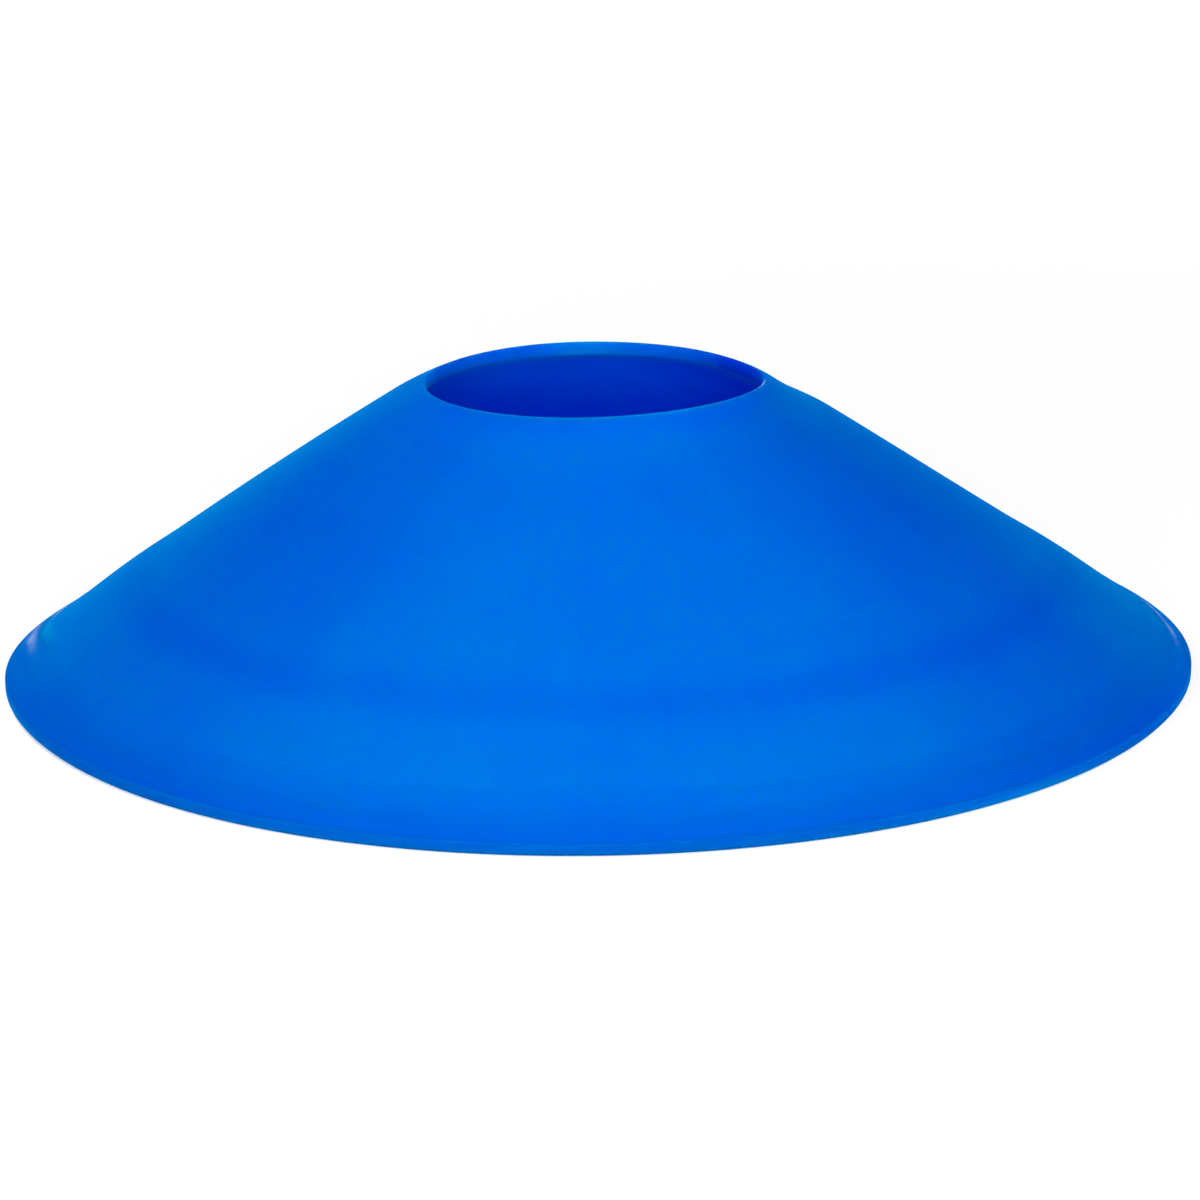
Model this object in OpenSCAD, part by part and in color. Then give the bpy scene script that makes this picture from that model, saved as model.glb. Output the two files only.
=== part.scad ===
// Disc marker cone for sports fields.
// One flexible moulding: a shallow hollow cone, open at the top and at the bottom.
// It stands on the foot of its rim at z = 0, with its axis on Z. Sizes are millimetres.

/* [Overall] */
// Diameter across the rim
rim_d = 200; // [150:1:300]
// Height from the ground to the edge of the hole, before that edge is rounded
height = 49.3; // [35:0.5:80]
// Diameter of the hole at the top
hole_d = 56; // [30:0.5:90]
// Thickness of the wall, square to its slope
wall = 1.3; // [0.8:0.1:3]

/* [Lip of the hole] */
// Height of the upright face inside the hole
lip_h = 2.4; // [1.4:0.1:5]
// Radius on the lip's two edges
lip_round = 0.35; // [0.1:0.05:0.6]
// Width of the rounded shoulder outside the hole
shoulder_w = 8; // [4:0.5:20]
// Fall of the shoulder below the line of the wall, at the hole
shoulder_drop = 1.1; // [0:0.1:2.4]

/* [Wall] */
// Bulge of the wall above a straight line, at its middle
crown = 1.1; // [0:0.1:6]
// Distance from the rim to the crest of the soft ring that stiffens the wall
ring_inset = 16; // [8:0.5:40]
// Width of the soft ring
ring_w = 20; // [6:0.5:30]
// Height of the soft ring
ring_h = 0.3; // [0:0.05:1.5]

/* [Rim] */
// Width of the brim, which flares outward
brim_w = 6; // [2:0.5:15]
// Rise of the brim's edge above the line of the wall
brim_rise = 0.6; // [0:0.1:1]
// Height of the upright edge round the rim
edge_h = 1.8; // [1.3:0.1:5]
// Width of the flat foot under the rim
foot_w = 1.6; // [1:0.1:5]
// Width over which the wall thickens into the foot
foot_blend_w = 4; // [1:0.5:10]
// Radius on the rim's edges
rim_round = 0.4; // [0.1:0.05:0.5]
// Number of fine beads round the brim
bead_count = 2; // [0:1:3]
// Distance of the outermost bead's crest from the rim
bead_inset = 2.4; // [1.5:0.1:8]
// Distance from one bead's crest to the next
bead_pitch = 3.6; // [2.6:0.1:6]
// Width of a bead
bead_w = 2.6; // [0.5:0.1:3.6]
// Height of a bead
bead_h = 0.08; // [0:0.01:0.3]

/* [Hidden] */

// Straight runs that draw the wall outside, the brim outside, and the wall inside
wall_steps = 40;
brim_steps = 30;
inner_steps = 44;
// Straight runs in each rounded edge
round_steps = 5;
// Sides of the turned solid where it is drawn as a mesh
turn_sides = 180;

rim_r = rim_d / 2;
hole_r = hole_d / 2;
run_w = rim_r - hole_r;
ring_r = rim_r - ring_inset;
foot_r = rim_r - foot_w;
beads_w = bead_inset + bead_pitch * bead_count;
brim_r = rim_r - max(brim_w, beads_w);

// The wall's line runs from above the hole's edge to below the brim's edge
line_top = height + shoulder_drop;
line_foot = edge_h - brim_rise;
// Depth of the wall along Z that gives its thickness across the slope
wall_z = wall * norm([run_w, line_top - line_foot]) / run_w;

// A smooth hump of height 1 at 0, which reaches 0 at -1/2 and 1/2
function hump(x) = abs(x) < 1/2 ? (1 + cos(360 * x)) / 2 : 0;
// A falling parabola: 1 at 0, and 0 with no slope from 1 outward
function fade(x) = x < 0 ? 1 : x < 1 ? (1 - x) * (1 - x) : 0;

// Height of the line of the wall at a radius, with its bulge
function line_z(r) =
    let (share = (r - hole_r) / run_w)
    line_top + (line_foot - line_top) * share + 4 * crown * share * (1 - share);

// Height of the outer surface without the fine beads
function plain_z(r) =
    line_z(r)
    - shoulder_drop * fade((r - hole_r) / shoulder_w)
    + ring_h * hump((r - ring_r) / ring_w)
    + brim_rise * fade((rim_r - r) / brim_w);

// Sum of the heights of the fine beads at a radius, from bead i inward
function beads_z(r, i = 0) =
    i < bead_count
        ? bead_h * hump((r - rim_r + bead_inset + i * bead_pitch) / bead_w) + beads_z(r, i + 1)
        : 0;

function outer_z(r) = plain_z(r) + beads_z(r);

// Height of the inner surface: the wall thickens to the lip, and then to the foot
function lined_z(r) = plain_z(r) - wall_z - (lip_h - wall_z) * fade((r - hole_r) / shoulder_w);
function inner_z(r) = lined_z(r) - lined_z(foot_r) * fade((foot_r - r) / foot_blend_w);

// Evenly spaced radii from one to another, both included
function radii(from, to, steps) = [for (i = [0:steps]) from + (to - from) * i / steps];

// Points of an arc that rounds the corner p, where the lines from a and to b meet
function rounded(a, p, b, radius) =
    let (
        u = (a - p) / norm(a - p),
        v = (b - p) / norm(b - p),
        half = acos(u * v) / 2,
        middle = p + (u + v) / norm(u + v) * radius / sin(half),
        first = p + u * radius / tan(half) - middle,
        last = p + v * radius / tan(half) - middle,
        turn = 180 - 2 * half
    )
    [for (i = [0:round_steps])
        let (share = i / round_steps)
        middle + (first * sin(turn * (1 - share)) + last * sin(turn * share)) / sin(turn)];

// Corners of the section, from the hole outward and back under the wall
lip_top = [hole_r, outer_z(hole_r)];
lip_foot = [hole_r, inner_z(hole_r)];
edge_top = [rim_r, outer_z(rim_r)];
edge_foot = [rim_r, 0];
foot_inside = [foot_r, 0];

// The curves start and end clear of the rounded edges
outer_radii = concat(
    radii(hole_r + 2 * lip_round, brim_r, wall_steps),
    radii(brim_r, rim_r - 2 * rim_round, brim_steps)
);
outer_points = [for (i = [0:len(outer_radii) - 1])
    if (i != wall_steps) [outer_radii[i], outer_z(outer_radii[i])]];
inner_points = [for (r = radii(foot_r - rim_round, hole_r + 2 * lip_round, inner_steps))
    [r, inner_z(r)]];

module marker_disc() {
    color([0, 0.42, 0.9])
        rotate_extrude($fn = turn_sides)
            polygon(concat(
                rounded(lip_foot, lip_top, outer_points[0], lip_round),
                outer_points,
                rounded(outer_points[len(outer_points) - 1], edge_top, edge_foot, rim_round),
                rounded(edge_top, edge_foot, foot_inside, rim_round),
                [foot_inside],
                inner_points,
                rounded(inner_points[inner_steps], lip_foot, lip_top, lip_round)
            ));
}

marker_disc();
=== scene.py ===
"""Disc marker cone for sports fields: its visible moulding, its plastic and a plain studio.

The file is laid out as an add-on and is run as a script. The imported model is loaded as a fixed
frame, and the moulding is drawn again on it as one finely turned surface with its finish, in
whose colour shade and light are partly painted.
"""
import math

import bpy
import numpy as np
from bpy.props import FloatProperty, FloatVectorProperty, IntProperty, PointerProperty
from mathutils import Matrix, Vector


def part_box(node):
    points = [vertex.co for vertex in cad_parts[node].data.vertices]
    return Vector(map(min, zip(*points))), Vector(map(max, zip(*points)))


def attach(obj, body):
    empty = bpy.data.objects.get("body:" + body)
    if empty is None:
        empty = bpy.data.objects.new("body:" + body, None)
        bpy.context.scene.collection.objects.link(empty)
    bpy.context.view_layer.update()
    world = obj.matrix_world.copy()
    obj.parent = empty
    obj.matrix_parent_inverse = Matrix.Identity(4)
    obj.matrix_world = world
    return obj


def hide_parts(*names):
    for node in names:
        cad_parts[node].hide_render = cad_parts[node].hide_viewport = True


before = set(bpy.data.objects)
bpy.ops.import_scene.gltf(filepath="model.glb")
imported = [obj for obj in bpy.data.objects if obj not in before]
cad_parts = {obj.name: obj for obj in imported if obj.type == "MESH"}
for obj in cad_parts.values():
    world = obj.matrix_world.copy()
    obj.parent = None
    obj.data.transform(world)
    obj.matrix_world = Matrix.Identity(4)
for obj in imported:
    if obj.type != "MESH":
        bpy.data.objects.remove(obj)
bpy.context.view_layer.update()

bl_info = {
    "name": "Disc Marker Cone",
    "version": (1, 0, 0),
    "blender": (4, 5, 0),
    "location": "3D View > Sidebar > Marker",
    "description": "Builds a flexible disc marker cone, its plastic and a plain studio",
    "category": "Add Mesh",
}

NODE = "marker_disc"
BODY = "root"
NODE_LOW, NODE_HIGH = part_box(NODE)
TURN = 2 * math.pi
MILLIMETRES = 1000

# How far the bent lip and the sagged shoulder reach from the hole, in metres, and the angle from
# the front that the sag faces, with its spread in degrees
LIP_REACH = 0.008
SAG_REACH = 0.0146
SAG_ANGLE = 104
SAG_SPREAD = 30
# The slow waves outward and upward: how many go round the disc, and where they start, in radians
OUTWARD_WAVES = 3
OUTWARD_START = 0.7
UPWARD_WAVES = 5
UPWARD_START = 2.1

# Marks round the disc, each with the angle that it faces, its spread and its strength.
# Bends of the lip, as shares of its lift, and of the rim, as shares of its spread
LIP_BENDS = ((40, 55, 1.6), (-162, 42, 0.94), (110, 26, -1.5))
RIM_BENDS = ((88, 20, 1.05), (-88, 16, 0.9), (-60, 28, -0.5), (-115, 22, -0.5))
# The hole's upper edge, where it is glossy, and where a highlight is painted on it in a paler colour
LIP_SHINE = ((-38, 4, 1.0), (-72, 12, 0.1), (77, 9, 0.5))
LIP_HIGHLIGHT = ((-38, 4, 1.0), (70, 8, 0.5))
# The hole's upright face, where painted shade darkens it in two strengths, and where a lit patch is
# painted on it
LIP_DARK_SHADE = ((-125, 40, 0.3), (140, 22, 0.3))
LIP_SHADE = ((-95, 20, 0.24), (112, 19, 1.8))
LIP_LIT_PATCH = ((-178, 13, 1.0),)
# The shoulder, where painted shade darkens it, and the band outside it, where painted light makes it
# paler
SHOULDER_DARK_SHADE = ((75, 40, 0.25),)
COLLAR_LIGHT = ((-5, 45, 0.2),)
# The hollow below the lip, where painted shade darkens it in two darker colours, and the whole
# inside, where painted shade darkens it too
HOLLOW_UPPER_SHADE = ((180, 60, 0.75),)
HOLLOW_UPPER_DARK_SHADE = ((180, 45, 0.6),)
HOLLOW_SHADE = ((118, 34, 1.6),)
# The middle of the wall, where painted shade darkens it and where a painted sheen makes it paler
WALL_SHADE = ((86, 20, 0.37), (-76, 14, 0.13))
WALL_SHEEN = ((-94, 8, 0.15),)
# The brim, where painted shade darkens it and where that shade is eased, and the foot of the rim's
# face, where a highlight is painted in a paler colour
BRIM_SHADE = ((66, 16, 0.41),)
BRIM_LESS_SHADE = ((72, 25, 0.22),)
RIM_FOOT_HIGHLIGHT = ((43, 13, 0.5),)

# Short streaks on the brim at both ends: glossy ones, painted highlights in a paler colour and
# painted shade. Each has its angle and spread in degrees, its distance from the rim there and its
# half width in millimetres, how far it runs inward for each degree that the angle grows, also in
# millimetres, and its strength
BRIM_SHINE = (
    (-94.5, 6, 2.6, 0.7, 0.27, 1.0),
    (-104, 4, 3.0, 0.8, 0.27, 0.9),
    (95, 6, 2.3, 0.4, 0.02, 1.0),
)
BRIM_HIGHLIGHT = ((-92, 6, 6.0, 0.9, 0.32, 1.0), (97, 6, 4.5, 0.8, 0.0, 0.3))
BRIM_SHADE_STREAKS = (
    (-95, 8, 4.1, 0.5, 0.27, 0.96),
    (-96, 4, 0.3, 0.5, 0.0, 0.8),
    (90, 9, 0.3, 0.5, 0.0, 0.64),
    (98, 5, 3.4, 0.5, 0.0, 0.48),
)

# How much painted shade darkens and painted light lightens each part all the way round, from 0 to
# 1, how much more painted shade the brim gets in front, and how worn the hole's upper edge is
RING_SHADE_STRENGTH = 0.157
HOLLOW_SHADE_STRENGTH = 0.5
SHOULDER_LIGHT_STRENGTH = 0.12
INSIDE_LIGHT_STRENGTH = 0.1
SHOULDER_DARK_STRENGTH = 0.18
INSIDE_DARK_STRENGTH = 0.12
RIM_EDGE_DARK_STRENGTH = 0.15
BRIM_DARK_STRENGTH = 0.64
BRIM_FRONT_DARK_STRENGTH = 0.16
LIP_EDGE_WEAR = 0.35

# Where those bands of painted shade and light lie on the section, in metres: the depth of the hole's
# and the rim's upright faces, how far behind the hole's face the inside starts, the reach of the
# rim's top edge and of its foot, and then the distance from the hole or from the rim and the width
# of each band
FACE_DEPTH = 0.0006
LIP_CORNER = 0.0012
CORNER_REACH = 0.0007
RIM_FOOT_REACH = 0.0011
COLLAR_INSET = 0.006
COLLAR_WIDTH = 0.015
WALL_SHADE_INSET = 0.044
WALL_SHADE_WIDTH = 0.075
RING_SHADE_INSET = 0.0215
RING_SHADE_WIDTH = 0.011
SHOULDER_BAND_WIDTH = 0.018
HOLLOW_WIDTH = 0.017
BRIM_SHADE_WIDTH = 0.009

# Steps along each stretch of the section, round each rounded edge and round the disc
SHOULDER_STEPS = 18
WALL_STEPS = 64
BRIM_STEPS = 46
FOOT_STEPS = 12
LINING_STEPS = 46
LIP_STEPS = 12
ROUND_STEPS = 8
SIDES = 400

# The plastic's gloss and grazing sheen, its shiny edges, and how much rougher it is where it is
# worn and on the inside
SPECULAR = 0.0
SHEEN = 0.2
SHEEN_ROUGHNESS = 0.3
SHEEN_TINT = (0.0, 0.5, 1.0, 1)
COAT_ROUGHNESS = 0.25
WORN_ROUGHNESS = 0.18
INSIDE_ROUGHNESS = 0.1
# How far blue light travels in the plastic, in metres, and the shares of that for each colour
SCATTER = 0.017
SCATTER_SHARES = (0.1, 0.25, 1.0)
# How much painted shade deepens the colour where it is seen at a slant, and the slants, from 0 in
# full view to 1 at the outline, between which the painted shade grows and then fades again toward
# the outline, as a painted sheen there
SLANT_SHADE = 0.21
SLANT_SHADE_GROWS = (0.2, 0.5)
SLANT_SHADE_FADES = (0.56, 0.74)

# How close the plastic's patterns are, in repeats a metre outward or all ways
FINE_TOOTH = 1500.0
SOFT_SWELL = 260.0
MOULD_RINGS = 700.0
DEPTH_CLOUDS = 36.0
FLOW_STREAKS = 7.0
SCUFF_LINES = 1100.0
SCUFF_PATCHES = 24.0
RUBBED_STRETCHES = 190.0
# How much the turned patterns change round the disc
RING_CHANGE = 0.8
FLOW_CHANGE = 11.0
SCUFF_CHANGE = 2.2

# Each lamp's size in metres, its azimuth and elevation in degrees, and its distance in metres,
# and the point that they all look at
LAMPS = (
    ("front", 0.35, -8, 5, 0.8),
    ("near", 0.3, 0, 10, 0.4),
    ("left", 0.6, -110, 50, 0.9),
    ("right", 0.5, 90, 20, 0.9),
    ("rear", 0.6, 180, 10, 0.9),
)
LAMP_TARGET = (0, 0, 0.02)

# Half the floor's width in metres, how light its paper is, how much of it is plain white to the
# eye, and how bright that white is
FLOOR_HALF = 20.0
FLOOR_PAPER = (0.9, 0.9, 0.9, 1)
FLOOR_PLAIN = 0.8
FLOOR_WHITE = 1.08
# Where the floor turns wholly plain, in metres from the disc's axis
FLOOR_NEAR = 0.3
FLOOR_FAR = 0.6

# The pixel of the square photograph where the middle of the foot shows, the photograph's side in
# pixels, and the width of the camera's sensor in millimetres
FOOT_PIXEL = (596.8, 659.6)
PHOTO_PIXELS = 1200
SENSOR = 36.0


def length(name, description, default, low=0.0):
    """A length property in metres, shown in the scene's own units."""
    return FloatProperty(name=name, description=description, default=default, min=low,
                         precision=5, subtype="DISTANCE", unit="LENGTH")


def share(name, description, default):
    """A property between 0 and 1."""
    return FloatProperty(name=name, description=description, default=default, min=0, max=1,
                         subtype="FACTOR")


def tint(name, description, default):
    """A colour property, in linear values."""
    return FloatVectorProperty(name=name, description=description, default=default, min=0, max=1,
                               size=3, subtype="COLOR")


class DiscSizes(bpy.types.PropertyGroup):
    """Sizes of the moulding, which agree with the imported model."""

    rim_diameter: length("Rim", "Diameter across the rim", NODE_HIGH.x - NODE_LOW.x, 0.1)
    hole_height: length("Height", "Height of the hole's edge before it is rounded", 0.0493, 0.02)
    hole_diameter: length("Hole", "Diameter of the hole at the top", 0.056, 0.02)
    wall: length("Wall", "Thickness of the wall, square to its slope", 0.0013, 0.0005)
    lip_height: length("Lip", "Height of the upright face inside the hole", 0.0024)
    lip_round: length("Lip radius", "Radius on the lip's two edges", 0.00035)
    shoulder_width: length("Shoulder", "Width of the rounded shoulder outside the hole", 0.008)
    shoulder_drop: length("Shoulder drop", "Fall of the shoulder below the wall's line", 0.0011)
    crown: length("Crown", "Bulge of the wall above a straight line", 0.0011)
    ring_inset: length("Ring inset", "Distance from the rim to the soft ring's crest", 0.016)
    ring_width: length("Ring width", "Width of the soft ring", 0.02)
    ring_height: length("Ring height", "Height of the soft ring", 0.0003)
    brim_width: length("Brim", "Width of the brim, which flares outward", 0.006)
    brim_rise: length("Brim rise", "Rise of the brim's edge above the wall's line", 0.0006)
    edge_height: length("Edge", "Height of the upright edge round the rim", 0.0018)
    foot_width: length("Foot", "Width of the flat foot under the rim", 0.0016)
    foot_blend: length("Foot blend", "Width over which the wall thickens to the foot", 0.004)
    rim_round: length("Rim radius", "Radius on the rim's edges", 0.0004)
    bead_count: IntProperty(name="Beads", description="Number of fine beads on the brim",
                            default=2, min=0, max=3)
    bead_inset: length("Bead inset", "Distance of the outer bead's crest from the rim", 0.0024)
    bead_pitch: length("Bead pitch", "Distance between two beads' crests", 0.0036)
    bead_width: length("Bead width", "Width of a bead", 0.0026)
    bead_height: length("Bead height", "Height of a bead", 0.00008)


class SoftSet(bpy.types.PropertyGroup):
    """How far the soft moulding has settled from a true circle."""

    hole_oval: length("Hole oval", "How far the hole is drawn out to both sides", 0.0004)
    hole_lean: length("Hole lean", "How far the hole leans to the right", 0.0003)
    lip_lift: length("Lip lift", "How far the lip is bent up or down in places", 0.0004)
    shoulder_sag: length("Shoulder sag", "How far the right shoulder has sagged", 0.00085)
    wall_sag: length("Wall sag", "How far the right wall has sagged", 0.0006)
    rim_spread: length("Rim spread", "How far the rim is spread at both ends", 0.0009)
    wave: length("Wave", "Height of the slow waves round the wall", 0.00008)


class PlasticFinish(bpy.types.PropertyGroup):
    """Colour and surface of the soft plastic."""

    colour: tint("Plastic", "Colour of the plastic", (0.0, 0.106, 0.985))
    # The colour toward which the cloudy depth and the painted shade darken the plastic
    deep_and_shade_colour: tint("Deep", "Colour where the wall is thicker", (0.0, 0.013, 0.72))
    # The colour of scuffs and rubbed edges, and also of painted highlights, sheen and light
    worn_and_lit_colour: tint("Worn", "Colour of scuffs and rubbed edges", (0.0, 0.165, 0.9))
    # The colour of painted shade on the brim, the rim's edge, the shoulder, the hole's face and the
    # inside
    dark_shade_colour: tint("Thick", "Colour of the thickest plastic", (0.0, 0.055, 0.25))
    mottle: share("Mottle", "Strength of the cloudy change in depth of colour", 0.137)
    wear: share("Wear", "Strength of scuffs and rubbed edges", 0.3)
    roughness: share("Roughness", "Roughness of the satin surface", 0.5)
    grain: length("Grain", "Height of the fine grain", 0.000004)
    turned_marks: length("Turned marks", "Height of the fine rings left by the turned mould",
                         0.000003)


class StudioLook(bpy.types.PropertyGroup):
    """Camera and lights."""

    distance: length("Distance", "Camera to the middle of the foot", 0.73, 0.1)
    elevation: FloatProperty(name="Elevation", description="Camera's angle above the floor",
                             default=math.radians(16.23), subtype="ANGLE", unit="ROTATION")
    roll: FloatProperty(name="Roll", description="Camera's turn about its own line of sight",
                        default=math.radians(0.841), subtype="ANGLE", unit="ROTATION")
    lens: FloatProperty(name="Lens", description="Focal length in millimetres",
                        default=127.85, min=10)
    dome: FloatProperty(name="Dome", description="Strength of the soft light from all round",
                        default=0.03, min=0)
    front: FloatProperty(name="Front", description="Power of the low lamp in front, in watts",
                         default=7.05, min=0)
    near: FloatProperty(name="Near", description="Power of the close lamp in front, in watts",
                        default=2.15, min=0)
    left: FloatProperty(name="Left", description="Power of the high lamp on the left, in watts",
                        default=3.9, min=0)
    right: FloatProperty(name="Right", description="Power of the lamp on the right, in watts",
                         default=3.1, min=0)
    rear: FloatProperty(name="Rear", description="Power of the low lamp behind, in watts",
                        default=4.1, min=0)


def fade(x):
    """A falling parabola: 1 up to x = 0, (1 - x) squared, and 0 from x = 1 outward."""
    return (1 - np.clip(x, 0, 1)) ** 2


def hump(x):
    """A raised cosine: 1 at x = 0, falling smoothly to 0 at x = -1/2 and x = 1/2."""
    return np.where(np.abs(x) < 0.5, (1 + np.cos(TURN * x)) / 2, 0)


class Section:
    """The turned section's curves: height as a function of radius, in metres."""

    def __init__(self, sizes):
        self.s = sizes
        self.rim = sizes.rim_diameter / 2
        self.hole = sizes.hole_diameter / 2
        self.foot = self.rim - sizes.foot_width
        self.line_top = sizes.hole_height + sizes.shoulder_drop
        self.line_foot = sizes.edge_height - sizes.brim_rise
        run = self.rim - self.hole
        self.wall_z = sizes.wall * math.hypot(run, self.line_top - self.line_foot) / run

    def plain(self, r):
        """A straight fall with a parabolic bulge, a shoulder that drops to the hole, a raised
        cosine for the soft ring, and a parabola that lifts the brim."""
        s = self.s
        t = (r - self.hole) / (self.rim - self.hole)
        line = self.line_top + (self.line_foot - self.line_top) * t + 4 * s.crown * t * (1 - t)
        return (line
                - s.shoulder_drop * fade((r - self.hole) / s.shoulder_width)
                + s.ring_height * hump((r - self.rim + s.ring_inset) / s.ring_width)
                + s.brim_rise * fade((self.rim - r) / s.brim_width))

    def outer(self, r):
        """The plain surface with a raised cosine for each fine bead."""
        s = self.s
        crests = self.rim - s.bead_inset - s.bead_pitch * np.arange(s.bead_count)
        beads = hump((np.asarray(r)[..., None] - crests) / s.bead_width).sum(-1)
        return self.plain(r) + s.bead_height * beads

    def lined(self, r):
        """The plain surface less the wall's depth, which grows to the lip by a parabola."""
        s = self.s
        lip = (s.lip_height - self.wall_z) * fade((r - self.hole) / s.shoulder_width)
        return self.plain(r) - self.wall_z - lip

    def inner(self, r):
        """The lined surface, brought down to the foot by a parabola."""
        return self.lined(r) - self.lined(self.foot) * fade((self.foot - r) / self.s.foot_blend)


def rounded(a, p, b, radius, steps=ROUND_STEPS):
    """Points of the arc that touches the lines from p to a and from p to b: the two touching
    directions from its centre, mixed by sines of the share of the turn between them."""
    a, p, b = np.array(a), np.array(p), np.array(b)
    u = (a - p) / np.linalg.norm(a - p)
    v = (b - p) / np.linalg.norm(b - p)
    half = math.acos(float(u @ v)) / 2
    middle = p + (u + v) / np.linalg.norm(u + v) * radius / math.sin(half)
    first = p + u * radius / math.tan(half) - middle
    last = p + v * radius / math.tan(half) - middle
    turn = math.pi - 2 * half
    t = np.linspace(0, 1, steps + 1)[:, None]
    return middle + (first * np.sin(turn * (1 - t)) + last * np.sin(turn * t)) / math.sin(turn)


def closed_section(sizes):
    """The section as one closed line of points (radius, height), from the hole's wall over the
    outer surface to the rim, under the foot and back inside, with a tag for where each lies."""
    c = Section(sizes)
    start, end = c.hole + 2 * sizes.lip_round, c.rim - 2 * sizes.rim_round
    brim = c.rim - max(sizes.brim_width, sizes.bead_inset + sizes.bead_pitch * sizes.bead_count)
    shoulder = c.hole + sizes.shoulder_width
    r_out = np.concatenate([
        np.linspace(start, shoulder, SHOULDER_STEPS)[:-1],
        np.linspace(shoulder, brim, WALL_STEPS)[:-1],
        np.linspace(brim, end, BRIM_STEPS),
    ])
    r_in = np.concatenate([
        np.linspace(c.foot - sizes.rim_round, c.foot - sizes.foot_blend, FOOT_STEPS)[:-1],
        np.linspace(c.foot - sizes.foot_blend, shoulder, LINING_STEPS)[:-1],
        np.linspace(shoulder, start, LIP_STEPS),
    ])
    out = np.stack([r_out, c.outer(r_out)], 1)
    back = np.stack([r_in, c.inner(r_in)], 1)
    lip_top = (c.hole, float(c.outer(c.hole)))
    lip_foot = (c.hole, float(c.inner(c.hole)))
    edge_top = (c.rim, float(c.outer(c.rim)))
    edge_foot = (c.rim, 0.0)
    inside = (c.foot, 0.0)
    parts = [
        (rounded(lip_foot, lip_top, out[0], sizes.lip_round), 0.0),
        (out, 0.0),
        (rounded(out[-1], edge_top, edge_foot, sizes.rim_round), 0.0),
        (rounded(edge_top, edge_foot, inside, sizes.rim_round), 0.0),
        (np.array([inside]), 1.0),
        (back, 1.0),
        (rounded(back[-1], lip_foot, lip_top, sizes.lip_round), 1.0),
    ]
    points = np.concatenate([p for p, _ in parts])
    tags = np.concatenate([np.full(len(p), tag) for p, tag in parts])
    return points, tags, c


def bell(phi, middle, spread):
    """A bell round the disc: exp(-(d / spread) squared), where d is the angle from its middle.
    Both angles are in degrees."""
    away = (np.degrees(phi) - middle + 180) % 360 - 180
    return np.exp(-(away / spread) ** 2)


def bells(phi, bumps):
    """The sum of several bells round the disc, each with its angle, its spread and its height."""
    return sum(height * bell(phi, middle, spread) for middle, spread, height in bumps)


def streaks(phi, beyond, marks):
    """The sum of short streaks: a bell round the disc, times exp(-(d / half width) squared) of
    the distance d from a line that leans inward by so much a degree."""
    total = 0
    for middle, spread, inset, width, lean, height in marks:
        away = (np.degrees(phi) - middle + 180) % 360 - 180
        off = beyond * MILLIMETRES - inset - lean * away
        total = total + height * bell(phi, middle, spread) * np.exp(-(off / width) ** 2)
    return total


def settled(r, z, phi, curves, soft):
    """Radius and height after the moulding has settled. Near the hole the radius gains an oval
    (minus the cosine of twice the angle) and a lean (the sine), the lip is bent up and down in
    places, the shoulder and wall sag on the right, the rim is spread at both ends and drawn in
    on each side of the left one, and slow waves run round the wall. Each is a function of the
    radius times a function of the angle, so the wall keeps its thickness."""
    lip = fade((r - curves.hole) / LIP_REACH)
    shoulder = hump((r - curves.hole - SAG_REACH / 2) / SAG_REACH)
    wall = hump((r - (curves.hole + curves.rim) / 2) / (curves.rim - curves.hole))
    right = bell(phi, SAG_ANGLE, SAG_SPREAD)
    radius = (r + lip * (soft.hole_lean * np.sin(phi) - soft.hole_oval * np.cos(2 * phi))
              + soft.rim_spread * bells(phi, RIM_BENDS) * (r / curves.rim) ** 4
              + soft.wave * wall * np.cos(OUTWARD_WAVES * phi + OUTWARD_START))
    height = (z + soft.lip_lift * lip * bells(phi, LIP_BENDS)
              - (soft.shoulder_sag * shoulder + soft.wall_sag * wall) * right
              + soft.wave * wall * np.cos(UPWARD_WAVES * phi + UPWARD_START))
    return radius, height


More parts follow.
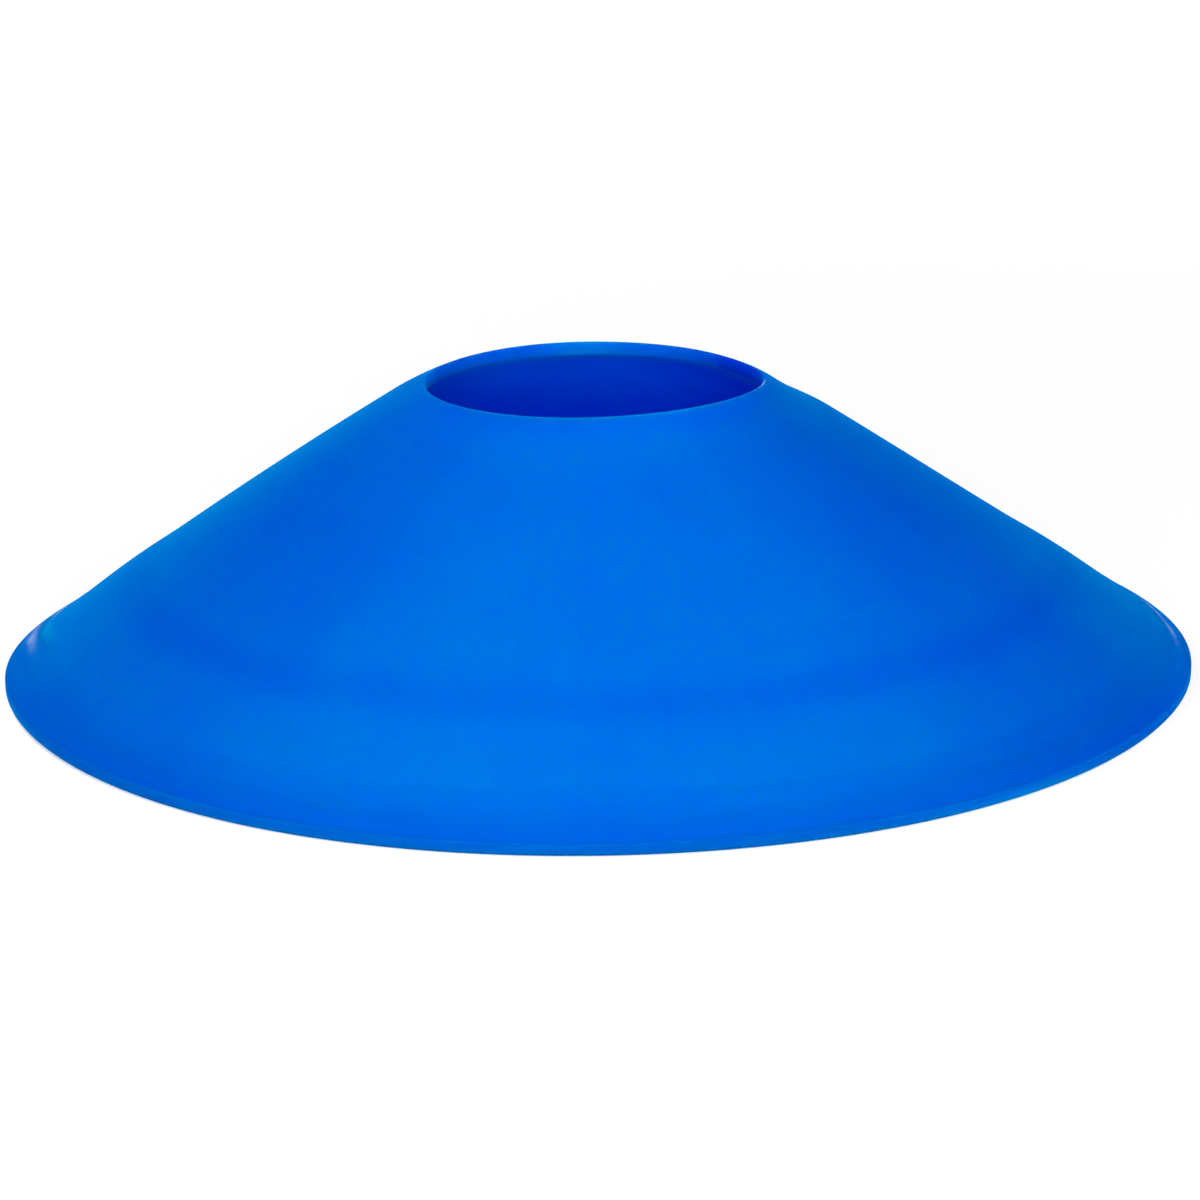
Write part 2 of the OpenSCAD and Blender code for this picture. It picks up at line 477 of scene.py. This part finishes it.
def wall_masks(points, inside, phi, curves, sizes):
    """Numbers up to 1, one for each point of the section and each angle round it. Along the
    section they are raised cosines on the ring, the shoulder, the collar and the wall, bells on
    the hole's face and upper edge and on the rim's top edge and foot, one less a bell behind the
    hole's face, a parabola that fades outward from the hole, and a straight fall inward from the
    rim. Each has a steady strength or bells round the disc, and the brim has short streaks too."""
    r = points[:, :1]
    inside = inside[:, None]
    beyond = curves.rim - r
    lip_corner = (curves.hole, float(curves.outer(curves.hole)))
    lip_gap = np.linalg.norm(points - lip_corner, axis=1)[:, None]
    lip_edge = np.exp(-(lip_gap / sizes.lip_round) ** 2)
    face = np.exp(-((r - curves.hole) / FACE_DEPTH) ** 2)
    rim_foot = np.exp(-(beyond / FACE_DEPTH) ** 2 - (points[:, 1:] / RIM_FOOT_REACH) ** 2)
    rim_corner = (curves.rim, float(curves.outer(curves.rim)))
    rim_gap = np.linalg.norm(points - rim_corner, axis=1)[:, None]
    rim_edge = np.exp(-(rim_gap / CORNER_REACH) ** 2)
    ring = hump((beyond - RING_SHADE_INSET) / RING_SHADE_WIDTH)
    outside = 1 - inside
    shoulder = hump((r - curves.hole) / SHOULDER_BAND_WIDTH) * outside
    collar = hump((r - curves.hole - COLLAR_INSET) / COLLAR_WIDTH) * outside
    wall = hump((beyond - WALL_SHADE_INSET) / WALL_SHADE_WIDTH) * outside
    within = inside * (1 - np.exp(-((r - curves.hole) / LIP_CORNER) ** 2))
    hollow = within * fade((r - curves.hole) / HOLLOW_WIDTH)
    # The brim's strength of painted shade, more in front and eased on the right
    brim = (np.clip(1 - beyond / BRIM_SHADE_WIDTH, 0, 1)
            * (BRIM_DARK_STRENGTH + BRIM_FRONT_DARK_STRENGTH * np.cos(phi) - bells(phi, BRIM_LESS_SHADE)))
    masks = {
        "inside": inside,
        "near_edge": LIP_EDGE_WEAR * lip_edge,
        # Painted shade toward the darker colour; where it is negative it is painted light, which
        # lessens the darkening
        "deep": (RING_SHADE_STRENGTH * ring - SHOULDER_LIGHT_STRENGTH * shoulder - INSIDE_LIGHT_STRENGTH * within
                 + hollow * (HOLLOW_SHADE_STRENGTH + bells(phi, HOLLOW_UPPER_SHADE))
                 + face * bells(phi, LIP_SHADE) + within * bells(phi, HOLLOW_SHADE)
                 + wall * bells(phi, WALL_SHADE) + brim * bells(phi, BRIM_SHADE)),
        # Painted shade toward the darkest colour
        "thick": (brim + RIM_EDGE_DARK_STRENGTH * rim_edge + INSIDE_DARK_STRENGTH * within
                  + shoulder * (SHOULDER_DARK_STRENGTH + bells(phi, SHOULDER_DARK_SHADE))
                  + hollow * bells(phi, HOLLOW_UPPER_DARK_SHADE) + face * bells(phi, LIP_DARK_SHADE)
                  + outside * streaks(phi, beyond, BRIM_SHADE_STREAKS)),
        # Painted highlights, sheen and light toward the paler colour
        "pale": (face * bells(phi, LIP_LIT_PATCH) + rim_foot * bells(phi, RIM_FOOT_HIGHLIGHT)
                 + outside * streaks(phi, beyond, BRIM_HIGHLIGHT) + collar * bells(phi, COLLAR_LIGHT)
                 + lip_edge * bells(phi, LIP_HIGHLIGHT) + wall * bells(phi, WALL_SHEEN)),
        "polish": (outside * streaks(phi, beyond, BRIM_SHINE)
                   + lip_edge * bells(phi, LIP_SHINE)),
    }
    return {key: np.minimum(values, 1) for key, values in masks.items()}


def turned_mesh(name, sizes, soft, sides=SIDES):
    """A closed section carried round the Z axis: each point is (r sin phi, -r cos phi, z), where
    the angle phi is 0 in front and grows to the right, and r and z are those of the settled wall."""
    points, inside, c = closed_section(sizes)
    rows = len(points)
    phi = (np.arange(sides) * TURN / sides)[None, :]
    radius, height = settled(points[:, 0][:, None], points[:, 1][:, None], phi, c, soft)
    co = np.stack([radius * np.sin(phi), -radius * np.cos(phi), height], -1).reshape(-1, 3)

    i, j = np.meshgrid(np.arange(rows), np.arange(sides), indexing="ij")
    i2, j2 = (i + 1) % rows, (j + 1) % sides
    quads = np.stack([i * sides + j, i2 * sides + j, i2 * sides + j2, i * sides + j2], -1)
    quads = quads.reshape(-1, 4)

    mesh = bpy.data.meshes.new(name)
    mesh.vertices.add(len(co))
    mesh.vertices.foreach_set("co", co.ravel())
    mesh.loops.add(quads.size)
    mesh.loops.foreach_set("vertex_index", quads.ravel())
    mesh.polygons.add(len(quads))
    mesh.polygons.foreach_set("loop_start", np.arange(0, quads.size, 4))
    mesh.polygons.foreach_set("use_smooth", np.ones(len(quads), bool))
    mesh.update(calc_edges=True)

    along = np.linalg.norm(np.diff(points, axis=0, append=points[:1]), axis=1)
    v = np.concatenate([[0], np.cumsum(along)]) / along.sum()
    uv = mesh.uv_layers.new(name="turned")
    u_corner = np.stack([j, j, j + 1, j + 1], -1) / sides
    v_corner = np.stack([v[i], v[i + 1], v[i + 1], v[i]], -1)
    uv.data.foreach_set("uv", np.stack([u_corner, v_corner], -1).astype(np.float32).ravel())

    for key, values in wall_masks(points, inside, phi, c, sizes).items():
        spread = np.broadcast_to(values, (rows, sides))
        attribute = mesh.attributes.new(key, "FLOAT", "POINT")
        attribute.data.foreach_set("value", spread.astype(np.float32).ravel())
    return mesh


def link(obj):
    """Puts a new object into the scene."""
    bpy.context.scene.collection.objects.link(obj)
    return obj


class Wiring:
    """Adds nodes to one tree and wires them, one step at a time."""

    def __init__(self, tree):
        self.tree = tree

    def node(self, kind, **settings):
        """A new node with its settings."""
        made = self.tree.nodes.new(kind)
        for name, value in settings.items():
            setattr(made, name, value)
        return made

    def feed(self, socket, value):
        """Wires an output to a socket, or sets the socket's own value."""
        if isinstance(value, bpy.types.NodeSocket):
            self.tree.links.new(value, socket)
        else:
            socket.default_value = value

    def math(self, operation, *values):
        """A Math node's result."""
        made = self.node("ShaderNodeMath", operation=operation)
        for socket, value in zip(made.inputs, values):
            self.feed(socket, value)
        return made.outputs[0]

    def vector(self, operation, *values):
        """A Vector Math node, fed in order."""
        made = self.node("ShaderNodeVectorMath", operation=operation)
        for socket, value in zip(made.inputs, values):
            self.feed(socket, value)
        return made

    def noise(self, vector, scale=1.0, detail=2.0, roughness=0.5):
        """Value of a noise, about 0.5 on average."""
        made = self.node("ShaderNodeTexNoise")
        self.feed(made.inputs["Vector"], vector)
        made.inputs["Scale"].default_value = scale
        made.inputs["Detail"].default_value = detail
        made.inputs["Roughness"].default_value = roughness
        return made.outputs["Fac"]

    def ramp(self, value, low, high):
        """A smooth step from 0 at low to 1 at high."""
        made = self.node("ShaderNodeMapRange", interpolation_type="SMOOTHSTEP")
        self.feed(made.inputs["Value"], value)
        made.inputs["From Min"].default_value = low
        made.inputs["From Max"].default_value = high
        return made.outputs["Result"]

    def blend(self, factor, a, b):
        """A colour mixed from two."""
        made = self.node("ShaderNodeMix", data_type="RGBA")
        self.feed(made.inputs["Factor"], factor)
        self.feed(made.inputs[6], a)
        self.feed(made.inputs[7], b)
        return made.outputs[2]

    def turned(self, position, around, outward):
        """Coordinates that follow a turned shape: the direction from the axis times one number,
        and the distance from the axis times another, with no seam."""
        flat = self.vector("MULTIPLY", position, (1, 1, 0)).outputs["Vector"]
        way = self.vector("NORMALIZE", flat).outputs["Vector"]
        reach = self.vector("LENGTH", flat).outputs["Value"]
        rise = self.node("ShaderNodeCombineXYZ")
        self.feed(rise.inputs["Z"], self.math("MULTIPLY", reach, outward))
        return self.vector("MULTIPLY_ADD", way, (around,) * 3, rise.outputs[0]).outputs["Vector"]


def effect_group(name, inputs, outputs, build):
    """A node group with named number and vector sockets, made once and filled by build."""
    group = bpy.data.node_groups.new(name, "ShaderNodeTree")
    for label, default in inputs.items():
        kind = "NodeSocketVector" if default is None else "NodeSocketFloat"
        socket = group.interface.new_socket(label, in_out="INPUT", socket_type=kind)
        if default is not None:
            socket.default_value = default
    for label in outputs:
        group.interface.new_socket(label, in_out="OUTPUT", socket_type="NodeSocketFloat")
    w = Wiring(group)
    given = w.node("NodeGroupInput").outputs
    result = w.node("NodeGroupOutput").inputs
    for label, value in zip(outputs, build(w, given)):
        w.feed(result[label], value)
    return group


def grain_nodes(w, given):
    """Two sizes of noise: the fine tooth of the mould's blasted face, and a softer swell."""
    fine = w.noise(given["Position"], FINE_TOOTH, detail=3.0, roughness=0.6)
    soft = w.noise(given["Position"], SOFT_SWELL)
    mixed = w.math("ADD", w.math("MULTIPLY", fine, 0.6), soft)
    return [w.math("MULTIPLY", mixed, given["Height"])]


def ring_nodes(w, given):
    """Fine rings round the axis, closer than a millimetre, that come and go round the disc."""
    turned = w.turned(given["Position"], RING_CHANGE, MOULD_RINGS)
    rings = w.noise(turned, detail=3.0, roughness=0.55)
    return [w.math("MULTIPLY", rings, given["Height"])]


def depth_nodes(w, given):
    """Cloudy patches, and faint streaks that run outward as the plastic flowed in the mould."""
    clouds = w.ramp(w.noise(given["Position"], DEPTH_CLOUDS), low=0.3, high=0.7)
    turned = w.turned(given["Position"], FLOW_CHANGE, FLOW_STREAKS)
    flow = w.ramp(w.noise(turned), low=0.35, high=0.7)
    mixed = w.math("ADD", w.math("MULTIPLY", clouds, 0.7), w.math("MULTIPLY", flow, 0.3))
    return [w.math("MULTIPLY", mixed, given["Amount"])]


def scuff_nodes(w, given):
    """Thin scuffs round the wall from other discs of a stack, kept to a few patches."""
    turned = w.turned(given["Position"], SCUFF_CHANGE, SCUFF_LINES)
    lines = w.ramp(w.noise(turned, detail=4.0, roughness=0.65), low=0.6, high=0.78)
    patches = w.ramp(w.noise(given["Position"], SCUFF_PATCHES), low=0.5, high=0.72)
    return [w.math("MULTIPLY", w.math("MULTIPLY", lines, patches), given["Amount"])]


def rub_nodes(w, given):
    """Edges rubbed in an uneven line."""
    noise = w.noise(given["Position"], RUBBED_STRETCHES, detail=3.0, roughness=0.6)
    uneven = w.ramp(noise, low=0.3, high=0.75)
    return [w.math("MULTIPLY", w.math("MULTIPLY", uneven, given["Edge"]), given["Amount"])]


def plastic_material(finish):
    """Soft satin plastic that lets blue light through its thin wall. Its colour is darkened by
    painted shade and lightened by painted light, with cloudy patches, scuffs, rubbed edges and two
    fine textures."""
    grain = effect_group("mould_grain", {"Position": None, "Height": 0.0}, ["Height"], grain_nodes)
    rings = effect_group("turned_rings", {"Position": None, "Height": 0.0}, ["Height"], ring_nodes)
    depth = effect_group("colour_depth", {"Position": None, "Amount": 0.0}, ["Mask"], depth_nodes)
    scuffs = effect_group("stack_scuffs", {"Position": None, "Amount": 0.0}, ["Mask"],
                          scuff_nodes)
    rub = effect_group("edge_rub", {"Position": None, "Edge": 0.0, "Amount": 0.0}, ["Mask"],
                       rub_nodes)

    mat = bpy.data.materials.new("blue_soft_plastic")
    mat.use_nodes = True
    w = Wiring(mat.node_tree)
    shader = mat.node_tree.nodes["Principled BSDF"]
    place = w.node("ShaderNodeTexCoord").outputs["Object"]

    def mask(name):
        return w.node("ShaderNodeAttribute", attribute_name=name).outputs["Fac"]

    def effect(group, **values):
        made = w.node("ShaderNodeGroup", node_tree=group)
        w.feed(made.inputs["Position"], place)
        for label, value in values.items():
            w.feed(made.inputs[label], value)
        return made.outputs[0]

    # Painted shade: the colour deepens where the surface is seen at a slant, and clears again toward
    # the outline as a painted sheen
    facing = w.node("ShaderNodeLayerWeight")
    facing.inputs["Blend"].default_value = 0.5
    slant = w.math("SUBTRACT", w.ramp(facing.outputs["Facing"], *SLANT_SHADE_GROWS),
                   w.ramp(facing.outputs["Facing"], *SLANT_SHADE_FADES))
    # The cloudy depth of colour, with painted shade and light from the masks and at a slant
    deep = w.math("ADD", mask("deep"), effect(depth, Amount=finish.mottle))
    deep = w.math("MULTIPLY_ADD", slant, SLANT_SHADE, deep)
    worn = w.math("MAXIMUM", effect(scuffs, Amount=finish.wear),
                  effect(rub, Edge=mask("near_edge"), Amount=finish.wear))
    colour = w.blend(deep, (*finish.colour, 1), (*finish.deep_and_shade_colour, 1))
    # Painted shade in the darkest colour
    colour = w.blend(mask("thick"), colour, (*finish.dark_shade_colour, 1))
    # Scuffs and rubbed edges, with painted highlights, sheen and light, in the paler colour
    light = w.math("MAXIMUM", worn, mask("pale"))
    w.feed(shader.inputs["Base Color"], w.blend(light, colour, (*finish.worn_and_lit_colour, 1)))

    rough = w.math("MULTIPLY_ADD", worn, WORN_ROUGHNESS, finish.roughness)
    rough = w.math("MULTIPLY_ADD", mask("inside"), INSIDE_ROUGHNESS, rough)
    w.feed(shader.inputs["Roughness"], rough)
    w.feed(shader.inputs["Coat Weight"], effect(rub, Edge=mask("polish"), Amount=1.0))

    bump = w.node("ShaderNodeBump")
    bump.inputs["Distance"].default_value = 1.0
    bump.inputs["Strength"].default_value = 1.0
    w.feed(bump.inputs["Height"], w.math("ADD", effect(grain, Height=finish.grain),
                                         effect(rings, Height=finish.turned_marks)))
    w.feed(shader.inputs["Normal"], bump.outputs["Normal"])

    shader.inputs["Specular IOR Level"].default_value = SPECULAR
    shader.inputs["Sheen Weight"].default_value = SHEEN
    shader.inputs["Sheen Roughness"].default_value = SHEEN_ROUGHNESS
    shader.inputs["Sheen Tint"].default_value = SHEEN_TINT
    shader.inputs["Coat Roughness"].default_value = COAT_ROUGHNESS
    shader.inputs["Subsurface Weight"].default_value = 1.0
    shader.inputs["Subsurface Radius"].default_value = SCATTER_SHARES
    shader.inputs["Subsurface Scale"].default_value = SCATTER
    return mat


class MARKER_OT_disc(bpy.types.Operator):
    """Turn the moulded disc and give it its plastic"""

    bl_idname = "marker.disc"
    bl_label = "Moulded disc"

    def execute(self, context):
        sizes = context.scene.marker_sizes
        finish = context.scene.marker_finish
        mesh = turned_mesh("moulded_disc", sizes, context.scene.marker_soft)
        mesh.materials.append(plastic_material(finish))
        disc = link(bpy.data.objects.new("moulded_disc", mesh))
        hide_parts(NODE)
        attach(disc, BODY)
        return {"FINISHED"}


def white_to_the_eye(tree, strength=1.0):
    """Plain white, and the mask of the rays that see it: the camera's and sharp reflections."""
    path = tree.nodes.new("ShaderNodeLightPath")
    white = tree.nodes.new("ShaderNodeEmission")
    white.inputs["Strength"].default_value = strength
    seen = path.outputs["Is Camera Ray"]
    for ray in ("Is Glossy Ray", "Is Transmission Ray"):
        either = tree.nodes.new("ShaderNodeMath")
        either.operation = "MAXIMUM"
        tree.links.new(seen, either.inputs[0])
        tree.links.new(path.outputs[ray], either.inputs[1])
        seen = either.outputs[0]
    return seen, white


def make_world(look):
    """A soft white dome that lights the disc, and plain white where it is seen."""
    world = bpy.data.worlds.new("studio_dome")
    world.use_nodes = True
    tree = world.node_tree
    tree.nodes.clear()
    out = tree.nodes.new("ShaderNodeOutputWorld")
    dome = tree.nodes.new("ShaderNodeBackground")
    dome.inputs["Strength"].default_value = look.dome
    seen, white = white_to_the_eye(tree)
    mix = tree.nodes.new("ShaderNodeMixShader")
    tree.links.new(seen, mix.inputs["Fac"])
    tree.links.new(dome.outputs[0], mix.inputs[1])
    tree.links.new(white.outputs[0], mix.inputs[2])
    tree.links.new(mix.outputs[0], out.inputs["Surface"])
    bpy.context.scene.world = world


def make_floor(rim):
    """A wide white floor, mostly plain white to the eye so that the soft shadow stays faint, and
    wholly plain further out. Under the disc it is only paper, so that it doesn't shine through
    the hole, and from below it is clear, so that the disc's underside shows."""
    mesh = bpy.data.meshes.new("studio_floor")
    corners = [(x * FLOOR_HALF, y * FLOOR_HALF, 0) for x, y in ((-1, -1), (1, -1), (1, 1), (-1, 1))]
    mesh.from_pydata(corners, [], [(0, 1, 2, 3)])
    mat = bpy.data.materials.new("white_floor")
    mat.use_nodes = True
    tree = mat.node_tree
    tree.nodes.clear()
    w = Wiring(tree)
    out = w.node("ShaderNodeOutputMaterial")
    paper = w.node("ShaderNodeBsdfDiffuse")
    paper.inputs["Color"].default_value = FLOOR_PAPER
    seen, white = white_to_the_eye(tree, FLOOR_WHITE)
    place = w.node("ShaderNodeTexCoord").outputs["Object"]
    reach = w.vector("LENGTH", place).outputs["Value"]
    further = w.ramp(reach, FLOOR_NEAR, FLOOR_FAR)
    plain = w.math("MULTIPLY_ADD", further, 1 - FLOOR_PLAIN, FLOOR_PLAIN)
    clear_of_disc = w.math("GREATER_THAN", reach, rim)
    keep = w.math("MULTIPLY", w.math("MULTIPLY", seen, plain), clear_of_disc)
    mix = w.node("ShaderNodeMixShader")
    w.feed(mix.inputs["Fac"], keep)
    w.feed(mix.inputs[1], paper.outputs[0])
    w.feed(mix.inputs[2], white.outputs[0])
    clear = w.node("ShaderNodeBsdfTransparent")
    sided = w.node("ShaderNodeMixShader")
    w.feed(sided.inputs["Fac"], w.node("ShaderNodeNewGeometry").outputs["Backfacing"])
    w.feed(sided.inputs[1], mix.outputs[0])
    w.feed(sided.inputs[2], clear.outputs[0])
    w.feed(out.inputs["Surface"], sided.outputs[0])
    mesh.materials.append(mat)
    link(bpy.data.objects.new("studio_floor", mesh))


def aim(obj, place, target):
    """Places an object and points its -Z axis at a target."""
    turn = (Vector(target) - Vector(place)).to_track_quat("-Z", "Y")
    obj.matrix_world = Matrix.Translation(place) @ turn.to_matrix().to_4x4()


def soft_lamp(name, power, size, azimuth, elevation, reach):
    """A square soft lamp that looks at the disc and isn't seen itself. Its azimuth is 0 in front
    and grows to the right, in degrees."""
    lamp = bpy.data.lights.new(name, "AREA")
    lamp.shape = "SQUARE"
    lamp.size = size
    lamp.energy = power
    obj = link(bpy.data.objects.new(name, lamp))
    az, el = math.radians(azimuth), math.radians(elevation)
    aim(obj, (reach * math.cos(el) * math.sin(az), -reach * math.cos(el) * math.cos(az),
              reach * math.sin(el)), LAMP_TARGET)
    obj.visible_camera = False


def make_camera(look):
    """The camera at the photograph's angle: it looks down at the disc, turned a little about its
    own axis, and the middle of the foot shows where it does in the photograph."""
    focal = look.lens / SENSOR * PHOTO_PIXELS
    middle = PHOTO_PIXELS / 2
    ray = Vector(((FOOT_PIXEL[0] - middle) / focal, (FOOT_PIXEL[1] - middle) / focal, 1))
    ray = ray.normalized() * look.distance
    ce, se = math.cos(look.elevation), math.sin(look.elevation)
    cr, sr = math.cos(look.roll), math.sin(look.roll)
    level = Matrix(((1, 0, 0), (0, -se, -ce), (0, ce, -se)))
    turn = Matrix(((cr, sr, 0), (-sr, cr, 0), (0, 0, 1)))
    to_camera = turn @ level
    place = -(to_camera.transposed() @ ray)
    flip = Matrix.Diagonal((1, -1, -1))
    data = bpy.data.cameras.new("photo_camera")
    data.lens = look.lens
    data.sensor_width = SENSOR
    camera = link(bpy.data.objects.new("photo_camera", data))
    camera.matrix_world = (Matrix.Translation(place)
                           @ (to_camera.transposed() @ flip).to_4x4())
    bpy.context.scene.camera = camera


class MARKER_OT_stage(bpy.types.Operator):
    """Set up the floor, the lights and the camera"""

    bl_idname = "marker.stage"
    bl_label = "Plain studio"

    def execute(self, context):
        look = context.scene.marker_look
        make_world(look)
        make_floor(context.scene.marker_sizes.rim_diameter / 2)
        for name, size, azimuth, elevation, reach in LAMPS:
            soft_lamp(name + "_softbox", getattr(look, name), size, azimuth, elevation, reach)
        make_camera(look)
        context.scene.view_settings.view_transform = "Standard"
        return {"FINISHED"}


class MARKER_PT_panel(bpy.types.Panel):
    """Lists the marker's steps in the sidebar"""

    bl_label = "Disc marker"
    bl_space_type = "VIEW_3D"
    bl_region_type = "UI"
    bl_category = "Marker"

    def draw(self, context):
        for step in OPERATORS:
            self.layout.operator(step.bl_idname)
        for group in PROPERTY_GROUPS:
            settings = getattr(context.scene, group)
            for name in settings.__annotations__:
                self.layout.prop(settings, name)


PROPERTY_GROUPS = {
    "marker_sizes": DiscSizes,
    "marker_soft": SoftSet,
    "marker_finish": PlasticFinish,
    "marker_look": StudioLook,
}
OPERATORS = (MARKER_OT_disc, MARKER_OT_stage)
CLASSES = (*PROPERTY_GROUPS.values(), *OPERATORS, MARKER_PT_panel)


def register():
    """Adds the classes to Blender, and their settings to the scene."""
    for cls in CLASSES:
        bpy.utils.register_class(cls)
    for name, group in PROPERTY_GROUPS.items():
        setattr(bpy.types.Scene, name, PointerProperty(type=group))


def unregister():
    """Takes the settings and the classes out again."""
    for name in PROPERTY_GROUPS:
        delattr(bpy.types.Scene, name)
    for cls in reversed(CLASSES):
        bpy.utils.unregister_class(cls)


def main():
    """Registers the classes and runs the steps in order."""
    register()
    bpy.ops.marker.disc()
    bpy.ops.marker.stage()


if __name__ == "__main__":
    main()
